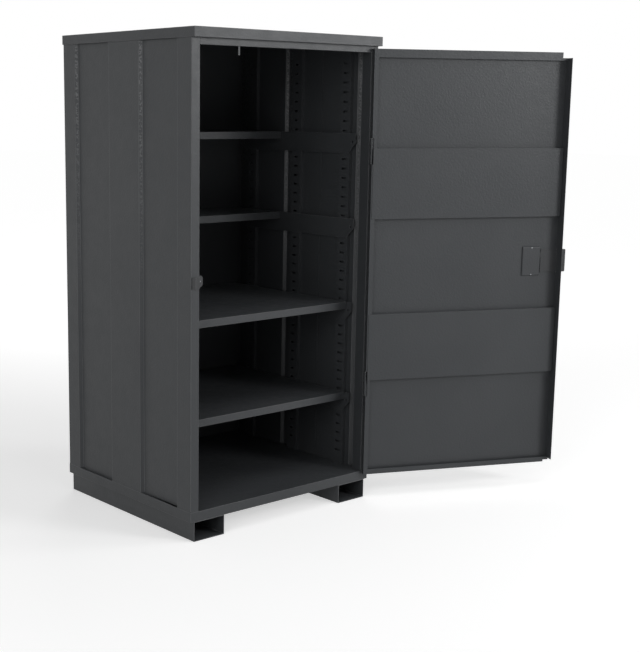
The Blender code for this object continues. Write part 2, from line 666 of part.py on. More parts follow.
def make_lock(door):
    """Lock cover with its screws, and the bolt that the handle slides."""
    cover_low = DOOR_SHEET + CLEARANCE
    cover_high = cover_low + LOCK_COVER_DEPTH
    half_height = LOCK_COVER_HEIGHT / 2
    low = (-LOCK_REACH - LOCK_COVER_WIDTH / 2, cover_low - HINGE_DEPTH, LOCK_HEIGHT - half_height)
    high = (-LOCK_REACH + LOCK_COVER_WIDTH / 2, cover_high - HINGE_DEPTH, LOCK_HEIGHT + half_height)
    cover = folded_tray("lock_cover", low, high, [(0, -1, 0)], LOCK_COVER_SHEET, door)
    head_half = BOLT_HEAD_HEIGHT / 2 + BOLT_PLAY
    gate_reach = (LOCK_REACH, LOCK_REACH + LOCK_COVER_WIDTH / 2 + CUT_MARGIN)
    gate_depth = (BOLT_SPAN[0] - BOLT_PLAY, BOLT_SPAN[1] + BOLT_PLAY)
    gate_height = (LOCK_HEIGHT - head_half, LOCK_HEIGHT + head_half)
    cut(cover, door_box(gate_reach, gate_depth, gate_height))
    for word, height in (("lower", -1), ("upper", 1)):
        place = (-LOCK_REACH, LOCK_HEIGHT + height * (half_height - COVER_SCREW_INSET))
        hole = (cover_high - LOCK_COVER_SHEET - CUT_MARGIN, cover_high + CUT_MARGIN)
        cut(cover, door_rod(SCREW_SHANK_RADIUS + CLEARANCE, -place[0], place[1], hole))
        seat = cover_high + CLEARANCE - HINGE_DEPTH
        make_screw(f"{word}_cover_screw", place, seat, door, cover_low - HINGE_DEPTH, 1)
    bolt_span = [depth - HINGE_DEPTH for depth in BOLT_SPAN]
    add_part("latch_bolt", prism(bolt_outline(), "Y", *bolt_span), door, DARK_COAT)


def make_keeper(root):
    """Keeper on the left post: a lip in front holds the bolt, and a tongue with a screw stops the door."""
    back = BODY_FRONT - CLEARANCE
    outer = -POST_EDGE - KEEPER_ON_POST
    arm = -POST_EDGE + CLEARANCE
    stop = DOOR_SETBACK + FREE_FLANGE + KEEPER_STOP_GAP + SHEET
    path = [
        (-POST_EDGE + KEEPER_IN_OPENING, stop),
        (arm, stop),
        (arm, back),
        (outer, back),
        (outer, CLEARANCE),
        (outer + KEEPER_FRONT_LIP, CLEARANCE),
    ]
    heights = (LOCK_HEIGHT - KEEPER_HEIGHT / 2, LOCK_HEIGHT + KEEPER_HEIGHT / 2)
    keeper = add_part("keeper", prism(folded(path, SHEET), "Z", *heights), root, DARK_COAT)
    screw_place = (-POST_EDGE + KEEPER_SCREW_REACH, LOCK_HEIGHT)
    hole = (stop - SHEET - CUT_MARGIN, stop + CUT_MARGIN)
    cut(keeper, rod(SCREW_SHANK_RADIUS + CLEARANCE, screw_place, "Y", *hole))
    make_screw("keeper_screw", screw_place, stop - SHEET - CLEARANCE, root, stop, -1)


def make_handle(door):
    """Outside: a plate, a turn handle whose spindle carries the drive wheel, and the lock cylinder."""
    plate_outer = -CLEARANCE - HANDLE_PLATE_THICKNESS
    half_width = HANDLE_PLATE_WIDTH / 2
    plate_middle = (LOCK_HEIGHT + KEY_HEIGHT) / 2
    plate_height = (plate_middle - HANDLE_PLATE_HEIGHT / 2, plate_middle + HANDLE_PLATE_HEIGHT / 2)
    plate_reach = (LOCK_REACH - half_width, LOCK_REACH + half_width)
    plate_mesh = door_box(plate_reach, (plate_outer, -CLEARANCE), plate_height)
    plate = add_part("handle_plate", plate_mesh, door, DARK_COAT)
    through = (plate_outer - CUT_MARGIN, CUT_MARGIN)
    cut(plate, door_rod(SPINDLE_RADIUS + CLEARANCE, LOCK_REACH, LOCK_HEIGHT, through))
    cut(plate, door_rod(KEY_RADIUS + CLEARANCE, LOCK_REACH, KEY_HEIGHT, through))

    turn = new_empty("handle_axis", door, (-LOCK_REACH, -HINGE_DEPTH, LOCK_HEIGHT))
    hub_inner = plate_outer - CLEARANCE
    hub_outer = hub_inner - HANDLE_HUB_LENGTH
    bar_inner = hub_outer + HANDLE_BAR_THICKNESS / 2
    # With the bolt out the bar lies level, which leaves the key free
    bar_low = (-HANDLE_BAR_LENGTH / 2, bar_inner - HANDLE_BAR_THICKNESS, -HANDLE_BAR_WIDTH / 2)
    bar_high = (HANDLE_BAR_LENGTH / 2, bar_inner, HANDLE_BAR_WIDTH / 2)
    handle = add_part("turn_handle", box(bar_low, bar_high), turn, DARK_COAT)
    rounding = handle.modifiers.new("rounding", "BEVEL")
    rounding.width = HANDLE_BEVEL
    rounding.segments = 2
    join(handle, rod(HANDLE_HUB_RADIUS, (0, 0), "Y", hub_outer, hub_inner))
    join(handle, rod(SPINDLE_RADIUS, (0, 0), "Y", hub_outer + HANDLE_BAR_THICKNESS / 2, SPINDLE_DEPTH))
    smooth(handle)
    wheel = add_part("drive_wheel", rod(WHEEL_RADIUS, (0, 0), "Y", *BOLT_SPAN), turn, ZINC)
    bore_span = (BOLT_SPAN[0] - CUT_MARGIN, BOLT_SPAN[1] + CUT_MARGIN)
    cut(wheel, rod(SPINDLE_RADIUS + CLEARANCE, (0, 0), "Y", *bore_span))
    smooth(wheel)

    key = new_empty("key_axis", door, (-LOCK_REACH, -HINGE_DEPTH, KEY_HEIGHT))
    key_front = plate_outer - KEY_STAND_OUT
    cylinder_mesh = rod(KEY_RADIUS, (0, 0), "Y", key_front, key_front + KEY_LENGTH)
    cylinder = add_part("lock_cylinder", cylinder_mesh, key, ZINC)
    keyway_low = (-KEYWAY_WIDTH / 2, key_front - CUT_MARGIN, -KEYWAY_LENGTH / 2)
    cut(cylinder, box(keyway_low, (KEYWAY_WIDTH / 2, key_front + KEYWAY_DEPTH, KEYWAY_LENGTH / 2)))
    smooth(cylinder)


def set_over_origin(root):
    """Move the whole cabinet so that its box stands on the origin with its middle there."""
    bpy.context.view_layer.update()
    graph = bpy.context.evaluated_depsgraph_get()
    places = []
    for piece in parts:
        solid = piece.evaluated_get(graph)
        places += [solid.matrix_world @ vert.co for vert in solid.data.vertices]
    low = [min(place[axis] for place in places) for axis in range(3)]
    high = [max(place[axis] for place in places) for axis in range(3)]
    root.location = (-(low[0] + high[0]) / 2, -(low[1] + high[1]) / 2, -low[2])
    bpy.context.view_layer.update()


clear_scene()
part_collection = new_collection("steel_tool_cabinet")
cutter_collection = new_collection("cutters")
cabinet = new_empty("cabinet_origin")
door_axis = new_empty("door_axis", cabinet, (HINGE_X, HINGE_Y, 0))
door_axis.rotation_euler = (0, 0, math.radians(DOOR_OPEN_ANGLE))

make_roof_and_base(cabinet)
make_walls(cabinet)
make_uprights(cabinet)
make_shelves(cabinet)
make_door_pan(door_axis)
make_bands(door_axis)
make_hinges(cabinet, door_axis)
make_lock(door_axis)
make_keeper(cabinet)
make_handle(door_axis)
set_over_origin(cabinet)
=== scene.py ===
# %% [markdown]
# # Dressing a steel tool cabinet
#
# The solids of the cabinet already exist: trays, panels, posts, shelves, a door and its lock. This lesson
# puts them in front of a camera, gives every sheet its powder coat, rounds the folds, and models the small
# fittings that a plain solid can't show.

# %% Load the solids
import json
import math
import bmesh
import bpy
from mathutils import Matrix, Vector


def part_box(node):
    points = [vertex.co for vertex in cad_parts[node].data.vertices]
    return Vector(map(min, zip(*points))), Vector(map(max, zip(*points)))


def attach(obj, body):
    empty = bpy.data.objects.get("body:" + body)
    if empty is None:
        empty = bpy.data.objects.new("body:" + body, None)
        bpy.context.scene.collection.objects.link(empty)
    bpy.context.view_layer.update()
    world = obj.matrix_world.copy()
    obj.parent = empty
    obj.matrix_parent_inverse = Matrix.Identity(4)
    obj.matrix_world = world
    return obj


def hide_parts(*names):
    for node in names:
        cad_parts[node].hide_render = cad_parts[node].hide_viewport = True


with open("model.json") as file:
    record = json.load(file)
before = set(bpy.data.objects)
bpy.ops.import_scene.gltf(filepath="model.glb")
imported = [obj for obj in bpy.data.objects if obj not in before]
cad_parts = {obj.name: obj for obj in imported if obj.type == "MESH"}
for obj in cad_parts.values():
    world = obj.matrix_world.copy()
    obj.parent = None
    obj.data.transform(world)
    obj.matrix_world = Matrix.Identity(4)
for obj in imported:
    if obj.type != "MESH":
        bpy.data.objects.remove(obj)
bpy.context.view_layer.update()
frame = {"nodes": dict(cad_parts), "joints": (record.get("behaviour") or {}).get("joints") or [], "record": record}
nodes = frame["nodes"]
bpy.ops.object.select_all(action="DESELECT")

# %% [markdown]
# ## The camera
#
# The cabinet is seen from its front left corner, from a little under the height of its roof. A long lens
# could stand square in front of it, but then the side panel and the shelves would hide, so the camera keeps
# the corner view. A small sideways shift puts the open door inside the frame without turning the camera.

# %% Camera
scene = bpy.context.scene
camera_data = bpy.data.cameras.new("corner_camera")
camera = bpy.data.objects.new("corner_camera", camera_data)
scene.collection.objects.link(camera)
camera.location = (-3.78169, -3.95083, 1.69984)
camera.rotation_euler = (1.39332, -0.00708, -0.68538)
camera_data.lens = 68.362
camera_data.sensor_width = 36
camera_data.shift_x = 0.145
camera_data.shift_y = 0.00739
camera_data.clip_end = 200
scene.camera = camera
scene.view_settings.view_transform = "Standard"
print("Camera lens", camera_data.lens, "mm at", tuple(camera.location))

# %% [markdown]
# ## Floor, room and lamps
#
# A product picture of dark steel wants a white room: the paint then shows its form by soft reflections, and
# only a faint shadow ties the skids to the floor. The floor is a plain pale sheet. What the lens, a gloss or
# a glass sees of it is lifted towards white, a little less close to the cabinet so that its shadow stays,
# while the light that the floor throws back is that of a pale floor.

# %% Floor and room
ROOM_LIGHT = 0.14
FLOOR_SIZE = 80
FLOOR_GREY = (0.80, 0.80, 0.80, 1)
WHITE = (1, 1, 1, 1)
NEAR, FAR = 1.5, 8.0
LIFT_NEAR, LIFT_FAR = 0.54, 0.88


def combine(tree, operation, first, second):
    """A maths node that takes two values."""
    both = tree.nodes.new("ShaderNodeMath")
    both.operation = operation
    tree.links.new(first, both.inputs[0])
    tree.links.new(second, both.inputs[1])
    return both.outputs[0]


def rescale(tree, value, start, end, low=0.0, high=1.0, curve="LINEAR"):
    """Carry a value from one range over to another."""
    limits = tree.nodes.new("ShaderNodeMapRange")
    limits.interpolation_type = curve
    limits.inputs["From Min"].default_value = start
    limits.inputs["From Max"].default_value = end
    limits.inputs["To Min"].default_value = low
    limits.inputs["To Max"].default_value = high
    tree.links.new(value, limits.inputs["Value"])
    return limits.outputs["Result"]


def seen_directly(tree):
    """A value that is 1 for what the lens, a gloss or a glass looks at."""
    path = tree.nodes.new("ShaderNodeLightPath")
    mirrored = combine(tree, "MAXIMUM", path.outputs["Is Camera Ray"], path.outputs["Is Glossy Ray"])
    return combine(tree, "MAXIMUM", mirrored, path.outputs["Is Transmission Ray"])


room = bpy.data.worlds.new("white_room")
scene.world = room
room.use_nodes = True
room_tree = room.node_tree
room_light = room_tree.nodes["Background"]
room_light.inputs["Color"].default_value = WHITE
room_level = rescale(room_tree, seen_directly(room_tree), 0, 1, ROOM_LIGHT, 1)
room_tree.links.new(room_level, room_light.inputs["Strength"])

bpy.ops.mesh.primitive_plane_add(size=FLOOR_SIZE, location=(0, 0, 0))
floor = bpy.context.object
floor.name = "floor"
floor_look = bpy.data.materials.new("pale_floor")
floor_look.use_nodes = True
floor_tree = floor_look.node_tree
floor_tree.nodes.clear()
floor_out = floor_tree.nodes.new("ShaderNodeOutputMaterial")
matte = floor_tree.nodes.new("ShaderNodeBsdfDiffuse")
matte.inputs["Color"].default_value = FLOOR_GREY
lift = floor_tree.nodes.new("ShaderNodeEmission")
lift.inputs["Color"].default_value = WHITE
floor_place = floor_tree.nodes.new("ShaderNodeTexCoord")
distance = floor_tree.nodes.new("ShaderNodeVectorMath")
distance.operation = "LENGTH"
floor_tree.links.new(floor_place.outputs["Object"], distance.inputs[0])
fade = rescale(floor_tree, distance.outputs["Value"], NEAR, FAR, LIFT_NEAR, LIFT_FAR, "SMOOTHSTEP")
lift_level = combine(floor_tree, "MULTIPLY", seen_directly(floor_tree), fade)
floor_tree.links.new(lift_level, lift.inputs["Strength"])
lifted = floor_tree.nodes.new("ShaderNodeAddShader")
floor_tree.links.new(matte.outputs[0], lifted.inputs[0])
floor_tree.links.new(lift.outputs[0], lifted.inputs[1])
floor_tree.links.new(lifted.outputs[0], floor_out.inputs["Surface"])
floor.data.materials.append(floor_look)
print("Floor and room made, room light", ROOM_LIGHT)

# %% [markdown]
# Five soft lamps shape the steel. Two stand on the right, a little above the roof, where the front-facing
# sheets mirror them: the roof's rim and the top of the posts come out light and fade downwards. The third is
# a broad one far to the left. It grazes past the left post, so the right wall inside is lit near the front
# and falls off into the dark of the cabinet. A weak one hangs over the front and reaches the shelves, and
# one stands behind, so that the back and the outside of the door can be read too.

# %% Lamps
def soft_lamp(name, place, target, size, power):
    """A square area lamp that looks at a point."""
    data = bpy.data.lights.new(name, "AREA")
    data.size = size
    data.energy = power
    lamp = bpy.data.objects.new(name, data)
    scene.collection.objects.link(lamp)
    lamp.location = place
    lamp.rotation_euler = (Vector(target) - Vector(place)).to_track_quat("-Z", "Y").to_euler()


soft_lamp("front_lamp", (1.9, -4.7, 2.7), (-0.5, -0.2, 1.6), size=1.4, power=84)
soft_lamp("right_lamp", (4.2, -3.2, 2.5), (-0.5, -0.2, 1.8), size=1.6, power=62)
soft_lamp("left_lamp", (-4.9, -2.4, 2.4), (-0.3, 0.0, 1.0), size=2.4, power=57)
soft_lamp("shelf_lamp", (-0.2, -1.6, 5.2), (-0.2, -0.3, 0.8), size=2.4, power=30)
soft_lamp("rear_lamp", (3.0, 4.6, 3.0), (0.0, 0.2, 1.0), size=2.4, power=60)

# %% [markdown]
# ## The powder coat
#
# Powder coat is sprayed on dry and melted in an oven. It sets with a fine pebbled skin, called texture, so
# its gloss breaks up into a soft sheen with tiny bright grains. Four noises make it here: a pebble of about
# a millimetre and an orange peel of nearly a centimetre for the bump, a cloud of a few centimetres for the
# sheen, and a broad one for the slight drift of colour over a big sheet. All of them read object
# coordinates, so they stay put on every sheet. The peel hardly shows on a matt wall, but it sparkles where a
# sheet mirrors a lamp.

# %% Coat materials
NOISE_LOW, NOISE_HIGH = 0.3, 0.7
DRIFT_GRAIN, DRIFT_DETAIL = 0.35, 4
SHEEN_GRAIN = 0.04
PEEL_GRAIN, PEEL_HEIGHT = 0.009, 0.0012
PEBBLE_GRAIN, PEBBLE_HEIGHT = 0.0014, 0.0002
BUMP_STRENGTH = 0.6
COAT_GLOSS = 0.30


def noise(tree, size, detail=2.0):
    """Noise on object coordinates, with its grain given as a length in metres."""
    place = tree.nodes.new("ShaderNodeTexCoord")
    grain = tree.nodes.new("ShaderNodeTexNoise")
    grain.inputs["Scale"].default_value = 1 / size
    grain.inputs["Detail"].default_value = detail
    tree.links.new(place.outputs["Object"], grain.inputs["Vector"])
    return grain.outputs["Fac"]


def ramp(tree, value, low, high):
    """Turn a noise into a colour between two greys."""
    blend = tree.nodes.new("ShaderNodeValToRGB")
    blend.color_ramp.elements[0].position = NOISE_LOW
    blend.color_ramp.elements[0].color = (*low, 1)
    blend.color_ramp.elements[1].position = NOISE_HIGH
    blend.color_ramp.elements[1].color = (*high, 1)
    tree.links.new(value, blend.inputs["Fac"])
    return blend.outputs["Color"]


def spread(tree, value, low, high):
    """Turn a noise into a number between two limits."""
    return rescale(tree, value, NOISE_LOW, NOISE_HIGH, low, high)


def pebble(tree, size, height, under=None):
    """Bump for a sprayed surface, laid over a coarser one if there is one."""
    bump = tree.nodes.new("ShaderNodeBump")
    bump.inputs["Strength"].default_value = BUMP_STRENGTH
    bump.inputs["Distance"].default_value = height
    tree.links.new(noise(tree, size), bump.inputs["Height"])
    if under:
        tree.links.new(under, bump.inputs["Normal"])
    return bump.outputs["Normal"]


def new_look(name):
    """A material with its shader ready."""
    look = bpy.data.materials.new(name)
    look.use_nodes = True
    return look, look.node_tree, look.node_tree.nodes["Principled BSDF"]


def powder_coat(name, low, high, sheen):
    """Textured powder coat between two close greys."""
    look, tree, shader = new_look(name)
    drift = noise(tree, DRIFT_GRAIN, DRIFT_DETAIL)
    tree.links.new(ramp(tree, drift, low, high), shader.inputs["Base Color"])
    tree.links.new(spread(tree, noise(tree, SHEEN_GRAIN), *sheen), shader.inputs["Roughness"])
    peel = pebble(tree, PEEL_GRAIN, PEEL_HEIGHT)
    tree.links.new(pebble(tree, PEBBLE_GRAIN, PEBBLE_HEIGHT, peel), shader.inputs["Normal"])
    shader.inputs["Specular IOR Level"].default_value = COAT_GLOSS
    return look


charcoal_coat = powder_coat(
    "charcoal_coat", (0.0485, 0.0520, 0.0560), (0.0555, 0.0590, 0.0630), sheen=(0.37, 0.46)
)
# The lighter coat here is a painted highlight, laid on the rounded folds of the charcoal sheets.
fold_highlight_coat = powder_coat("fold_highlight_coat", (0.090, 0.094, 0.099), (0.150, 0.154, 0.160), sheen=(0.36, 0.46))
dark_coat = powder_coat("dark_coat", (0.044, 0.046, 0.049), (0.051, 0.053, 0.056), sheen=(0.36, 0.45))
print("Coats:", charcoal_coat.name, fold_highlight_coat.name, dark_coat.name)

# %% [markdown]
# The pins, screws and lock cylinder are zinc plated and passivated, which turns the bright metal into a
# cloudy grey. So its colour and its roughness both wander a little.

# %% Zinc
CLOUD_GRAIN, PLATING_GRAIN = 0.006, 0.002
zinc, zinc_tree, zinc_shader = new_look("zinc_plate")
zinc_shader.inputs["Metallic"].default_value = 1.0
cloud = ramp(zinc_tree, noise(zinc_tree, CLOUD_GRAIN), (0.26, 0.27, 0.28), (0.36, 0.37, 0.38))
zinc_tree.links.new(cloud, zinc_shader.inputs["Base Color"])
plating = spread(zinc_tree, noise(zinc_tree, PLATING_GRAIN), 0.30, 0.48)
zinc_tree.links.new(plating, zinc_shader.inputs["Roughness"])
print("Metal:", zinc.name)

# %% [markdown]
# ## Folds and coats on the solids
#
# Sheet steel is folded on a press, so no edge is knife sharp. Modelling every fold again by hand would only
# repeat the solids, so live modifiers do it: the loose triangles are joined, flat seams are cleared, and a
# small bevel rounds the edges. On the charcoal sheets the bevel takes a second, lighter coat, which is a
# painted highlight along each fold.

# %% Coat every solid
TINY = 0.00001
FLAT_ANGLE = math.radians(1)
FOLD_ANGLE = math.radians(40)
FOLD_RADIUS = 0.0014
EVEN_WEIGHT = 100
slot_of = {row["node"]: row["material_slot"] for row in frame["record"]["subparts"]}
# Each pair is a sheet's coat and the coat of its bevelled folds; on the charcoal sheets the folds take the painted
# highlight.
coats = {
    "charcoal_coat": (charcoal_coat, fold_highlight_coat),
    "dark_coat": (dark_coat, dark_coat),
    "zinc": (zinc, zinc),
}


def soften_folds(node):
    """Join a solid's triangles, clear its flats and round its edges with live modifiers."""
    joined = node.modifiers.new("join_triangles", "WELD")
    joined.merge_threshold = TINY
    flats = node.modifiers.new("clear_flats", "DECIMATE")
    flats.decimate_type = "DISSOLVE"
    flats.angle_limit = FLAT_ANGLE
    fold = node.modifiers.new("round_folds", "BEVEL")
    fold.width = FOLD_RADIUS
    fold.segments = 2
    fold.limit_method = "ANGLE"
    fold.angle_limit = FOLD_ANGLE
    # The bevel takes the second coat, which on the charcoal sheets is the painted highlight.
    fold.material = 1
    even = node.modifiers.new("keep_flats_flat", "WEIGHTED_NORMAL")
    even.weight = EVEN_WEIGHT


for name, node in nodes.items():
    node.data.materials.clear()
    for coat in coats[slot_of[name]]:
        node.data.materials.append(coat)
    soften_folds(node)
print("Coated", len(nodes), "solids")

# %% [markdown]
# The recesses of the side panels are drawn in the press, with sloping steps. On these steps pale specks are
# painted into the colour as glints of the lamps, a painted highlight, many under the roof and fewer further
# down, as the light falls there. A painted strip would need an edge, so a mask does it: how deep a point lies
# under the panel's face picks the step, its height sets how many painted glints there are, and a fine noise
# scatters them.

# %% Painted glints on the pressed steps
STEP_DEPTH = 0.012
EDGE_START, EDGE_END = 0.001, 0.003
GLINTS_BOTTOM, GLINTS_TOP = 0.9, 2.1
GLINT_GRAIN = 0.008
GLINT_START, GLINT_FULL = 0.50, 0.56
# The pale colour of the painted glints, a painted highlight on the steps.
PAINTED_GLINT = (0.150, 0.155, 0.160, 1)


def glint_painted_coat(name, face, inward):
    """The charcoal coat with pale specks of painted highlight on the steps behind a panel's face."""
    look = charcoal_coat.copy()
    look.name = name
    tree = look.node_tree
    shader = tree.nodes["Principled BSDF"]
    place = tree.nodes.new("ShaderNodeTexCoord")
    axes = tree.nodes.new("ShaderNodeSeparateXYZ")
    tree.links.new(place.outputs["Object"], axes.inputs[0])
    across = axes.outputs["X"]
    bottom = face + inward * STEP_DEPTH
    behind_face = rescale(tree, across, face + inward * EDGE_START, face + inward * EDGE_END)
    above_bottom = rescale(tree, across, bottom - inward * EDGE_START, bottom - inward * EDGE_END)
    # Higher on the panel, more painted glints, as the light falls there.
    high = rescale(tree, axes.outputs["Z"], GLINTS_BOTTOM, GLINTS_TOP)
    glints = rescale(tree, noise(tree, GLINT_GRAIN, 1), GLINT_START, GLINT_FULL)
    on_step = combine(tree, "MULTIPLY", behind_face, above_bottom)
    # Mask of the painted glints: on a step, more of them higher up, scattered by noise.
    glint_mask = combine(tree, "MULTIPLY", on_step, combine(tree, "MULTIPLY", high, glints))
    mix = tree.nodes.new("ShaderNodeMix")
    mix.data_type = "RGBA"
    mix.inputs["B"].default_value = PAINTED_GLINT
    paint = shader.inputs["Base Color"].links[0].from_socket
    tree.links.new(glint_mask, mix.inputs["Factor"])
    tree.links.new(paint, mix.inputs["A"])
    tree.links.new(mix.outputs["Result"], shader.inputs["Base Color"])
    return look


left_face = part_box("left_side_panel")[0][0]
right_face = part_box("right_side_panel")[1][0]
# The side panels take the coat with the painted glints on their steps.
nodes["left_side_panel"].data.materials[0] = glint_painted_coat("left_panel_glint_coat", left_face, 1)
nodes["right_side_panel"].data.materials[0] = glint_painted_coat("right_panel_glint_coat", right_face, -1)
print("Painted glints behind the faces at", round(left_face, 4), "and", round(right_face, 4))

# %% [markdown]
# ## Helpers for modelling
#
# The small fittings are modelled as by hand: a primitive, a few steps in edit mode, a modifier or two. These
# helpers open a piece for editing and choose its faces or edges by where they are, as a click would. Pieces
# of the lock are drawn around the handle's axis, with X towards the hinges, Y into the door and Z up, and
# are then turned and moved with the open door.

# %% Modelling helpers
SQUARE_ON = 0.99
SMOOTH_ANGLE = 35


def select_only(piece):
    """Make one piece the chosen and the active one."""
    bpy.ops.object.select_all(action="DESELECT")
    bpy.context.view_layer.objects.active = piece
    piece.select_set(True)


def edit(piece):
    """Open one piece in edit mode with nothing chosen."""
    select_only(piece)
    bpy.ops.object.mode_set(mode="EDIT")
    bpy.ops.mesh.select_all(action="DESELECT")


def done():
    """Leave edit mode."""
    bpy.ops.object.mode_set(mode="OBJECT")


def choose_faces(piece, wanted):
    """Select the faces whose normal passes a test."""
    bpy.ops.mesh.select_mode(type="FACE")
    bpy.ops.mesh.select_all(action="DESELECT")
    shape = bmesh.from_edit_mesh(piece.data)
    for face in shape.faces:
        face.select_set(bool(wanted(face.normal)))
    bmesh.update_edit_mesh(piece.data)


def choose_edges(piece, wanted):
    """Select the edges whose two ends pass a test."""
    bpy.ops.mesh.select_mode(type="EDGE")
    bpy.ops.mesh.select_all(action="DESELECT")
    shape = bmesh.from_edit_mesh(piece.data)
    for edge in shape.edges:
        edge.select_set(bool(wanted(edge.verts[0].co, edge.verts[1].co)))
    bmesh.update_edit_mesh(piece.data)


def set_place(piece):
    """Put a piece's place and size into its mesh."""
    select_only(piece)
    bpy.ops.object.transform_apply(location=True, rotation=True, scale=True)


def block(name, low, high):
    """A cube primitive stretched between two corners."""
    low, high = Vector(low), Vector(high)
    bpy.ops.mesh.primitive_cube_add(size=1, location=(low + high) / 2, scale=high - low)
    piece = bpy.context.object
    piece.name = name
    set_place(piece)
    return piece


def bar(name, radius, start, end, height=0.0, sides=40):
    """A round primitive along Y between two depths, above or under the handle's axis."""
    bpy.ops.mesh.primitive_cylinder_add(
        vertices=sides, radius=radius, depth=end - start,
        location=(0, (start + end) / 2, height), rotation=(math.radians(90), 0, 0),
    )
    piece = bpy.context.object
    piece.name = name
    set_place(piece)
    return piece


def apply(piece, kind, **settings):
    """Add one modifier to a piece and apply it."""
    select_only(piece)
    step = piece.modifiers.new(kind.lower(), kind)
    for key, value in settings.items():
        setattr(step, key, value)
    bpy.ops.object.modifier_apply(modifier=step.name)


def cut_away(piece, tool):
    """Take one shape out of another and throw the tool away."""
    apply(piece, "BOOLEAN", object=tool, operation="DIFFERENCE", solver="EXACT")
    bpy.data.objects.remove(tool, do_unlink=True)


def dress(piece, body, coat, stands_for=None, angle=SMOOTH_ANGLE):
    """Shade, coat and mount a finished piece."""
    select_only(piece)
    bpy.ops.object.shade_smooth_by_angle(angle=math.radians(angle))
    even = piece.modifiers.new("keep_flats_flat", "WEIGHTED_NORMAL")
    even.weight = EVEN_WEIGHT
    even.keep_sharp = True
    piece.data.materials.clear()
    piece.data.materials.append(coat)
    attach(piece, body)
    if stands_for:
        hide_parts(stands_for)


joints = {row["name"]: row for row in frame["joints"]}
lock_centre = Vector(joints["handle_turn"]["pos_m"])
into_door = Vector(joints["handle_turn"]["axis"])
door_turn = math.atan2(-into_door.x, into_door.y)


def hang_on_door(piece):
    """Turn and move a piece from the lock's drawing to the open door."""
    piece.rotation_euler = (0, 0, door_turn)
    piece.location = lock_centre
    set_place(piece)


print("Lock drawn around", tuple(lock_centre), "and turned", round(math.degrees(door_turn), 1), "degrees")

# %% [markdown]
# ## The lock's cover
#
# Inside the door a shallow steel box hides the bolt's drive. It is pressed from thin sheet, so its rim is a
# soft roll and not a corner. A folded box would need welded corners; a pressed one is simply a block with
# its outer edges rolled over, hollowed from behind, and open where the bolt comes out.

# %% Lock cover
COVER_LOW, COVER_HIGH = 0.0023, 0.0083
COVER_SIDE, COVER_END = 0.0445, 0.0655
COVER_ROLL, COVER_SHEET = 0.0055, 0.0012
GATE_OUTER, GATE_INNER = -0.060, -0.020
GATE_LOW, GATE_HIGH = 0.0011, 0.0066
GATE_END = 0.0525
cover = block("pressed_cover", (-COVER_SIDE, COVER_LOW, -COVER_END), (COVER_SIDE, COVER_HIGH, COVER_END))
edit(cover)
choose_edges(cover, lambda a, b: max(a.y, b.y) > COVER_HIGH - TINY)
bpy.ops.mesh.bevel(offset=COVER_ROLL, segments=6, affect="EDGES")
choose_faces(cover, lambda normal: normal.y < -SQUARE_ON)
bpy.ops.mesh.delete(type="FACE")
done()
apply(cover, "SOLIDIFY", thickness=COVER_SHEET, offset=-1)
gate = block("bolt_gate", (GATE_OUTER, GATE_LOW, -GATE_END), (GATE_INNER, GATE_HIGH, GATE_END))
cut_away(cover, gate)
hang_on_door(cover)
dress(cover, "door", charcoal_coat, "lock_cover")
print(cover.name, len(cover.data.polygons), "faces")

# %% [markdown]
# ## Screws
#
# The cover and the keeper are held by small pan-head screws with a cross recess. A turned rod could be spun
# from its outline, but a short cylinder with its rim rolled over is quicker. The cross is cut by two bars.
# One screw is modelled, and the others are copies of it with meshes of their own.

# %% Screws
HEAD_RADIUS, HEAD_HEIGHT, HEAD_ROLL = 0.0032, 0.002, 0.0013
SHANK_INSET, SHANK_LENGTH = 0.0016, 0.005
CROSS_LENGTH, CROSS_WIDTH = 0.0036, 0.0007
CROSS_FLOOR, CROSS_TOP = 0.001, 0.003
SCREW_RISE = 0.0595
CLEARANCE = 0.0003
screw = bar("screw_model", HEAD_RADIUS, 0, HEAD_HEIGHT)
edit(screw)
choose_edges(screw, lambda a, b: min(a.y, b.y) > HEAD_HEIGHT - TINY)
bpy.ops.mesh.bevel(offset=HEAD_ROLL, segments=5, affect="EDGES")
choose_faces(screw, lambda normal: normal.y < -SQUARE_ON)
bpy.ops.mesh.inset(thickness=SHANK_INSET)
bpy.ops.mesh.extrude_region_move(TRANSFORM_OT_translate={"value": (0, -SHANK_LENGTH, 0)})
done()
for length, width in ((CROSS_LENGTH, CROSS_WIDTH), (CROSS_WIDTH, CROSS_LENGTH)):
    low = (-length / 2, CROSS_FLOOR, -width / 2)
    high = (length / 2, CROSS_TOP, width / 2)
    cut_away(screw, block("cross_bar", low, high))
screw_places = {"lower_cover_screw": -SCREW_RISE, "upper_cover_screw": SCREW_RISE}
for stands_for, height in screw_places.items():
    copy = screw.copy()
    copy.data = screw.data.copy()
    copy.name = "cross_" + stands_for
    scene.collection.objects.link(copy)
    copy.location = (0, COVER_HIGH + CLEARANCE, height)
    set_place(copy)
    hang_on_door(copy)
    dress(copy, "door", zinc, stands_for)
keeper_low, keeper_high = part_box("keeper_screw")
keeper_screw = screw
keeper_screw.name = "cross_keeper_screw"
keeper_screw.rotation_euler = (0, 0, math.radians(180))
keeper_screw.location = (
    (keeper_low[0] + keeper_high[0]) / 2, keeper_low[1] + HEAD_HEIGHT, (keeper_low[2] + keeper_high[2]) / 2,
)
set_place(keeper_screw)
dress(keeper_screw, "cabinet", zinc, "keeper_screw")

# %% [markdown]
# ## Handle, plate and lock cylinder
#
# On the outer face a bar handle turns on a plate, with a keyed cylinder under it. While the bolt is out the
# bar lies level, so a key can reach the cylinder. The bar is a cast piece with a swell in the middle and
# rounded ends. It starts as a block that is cut into a grid, drawn in towards its ends, and smoothed by
# subdivision, which rounds it as a casting is rounded.

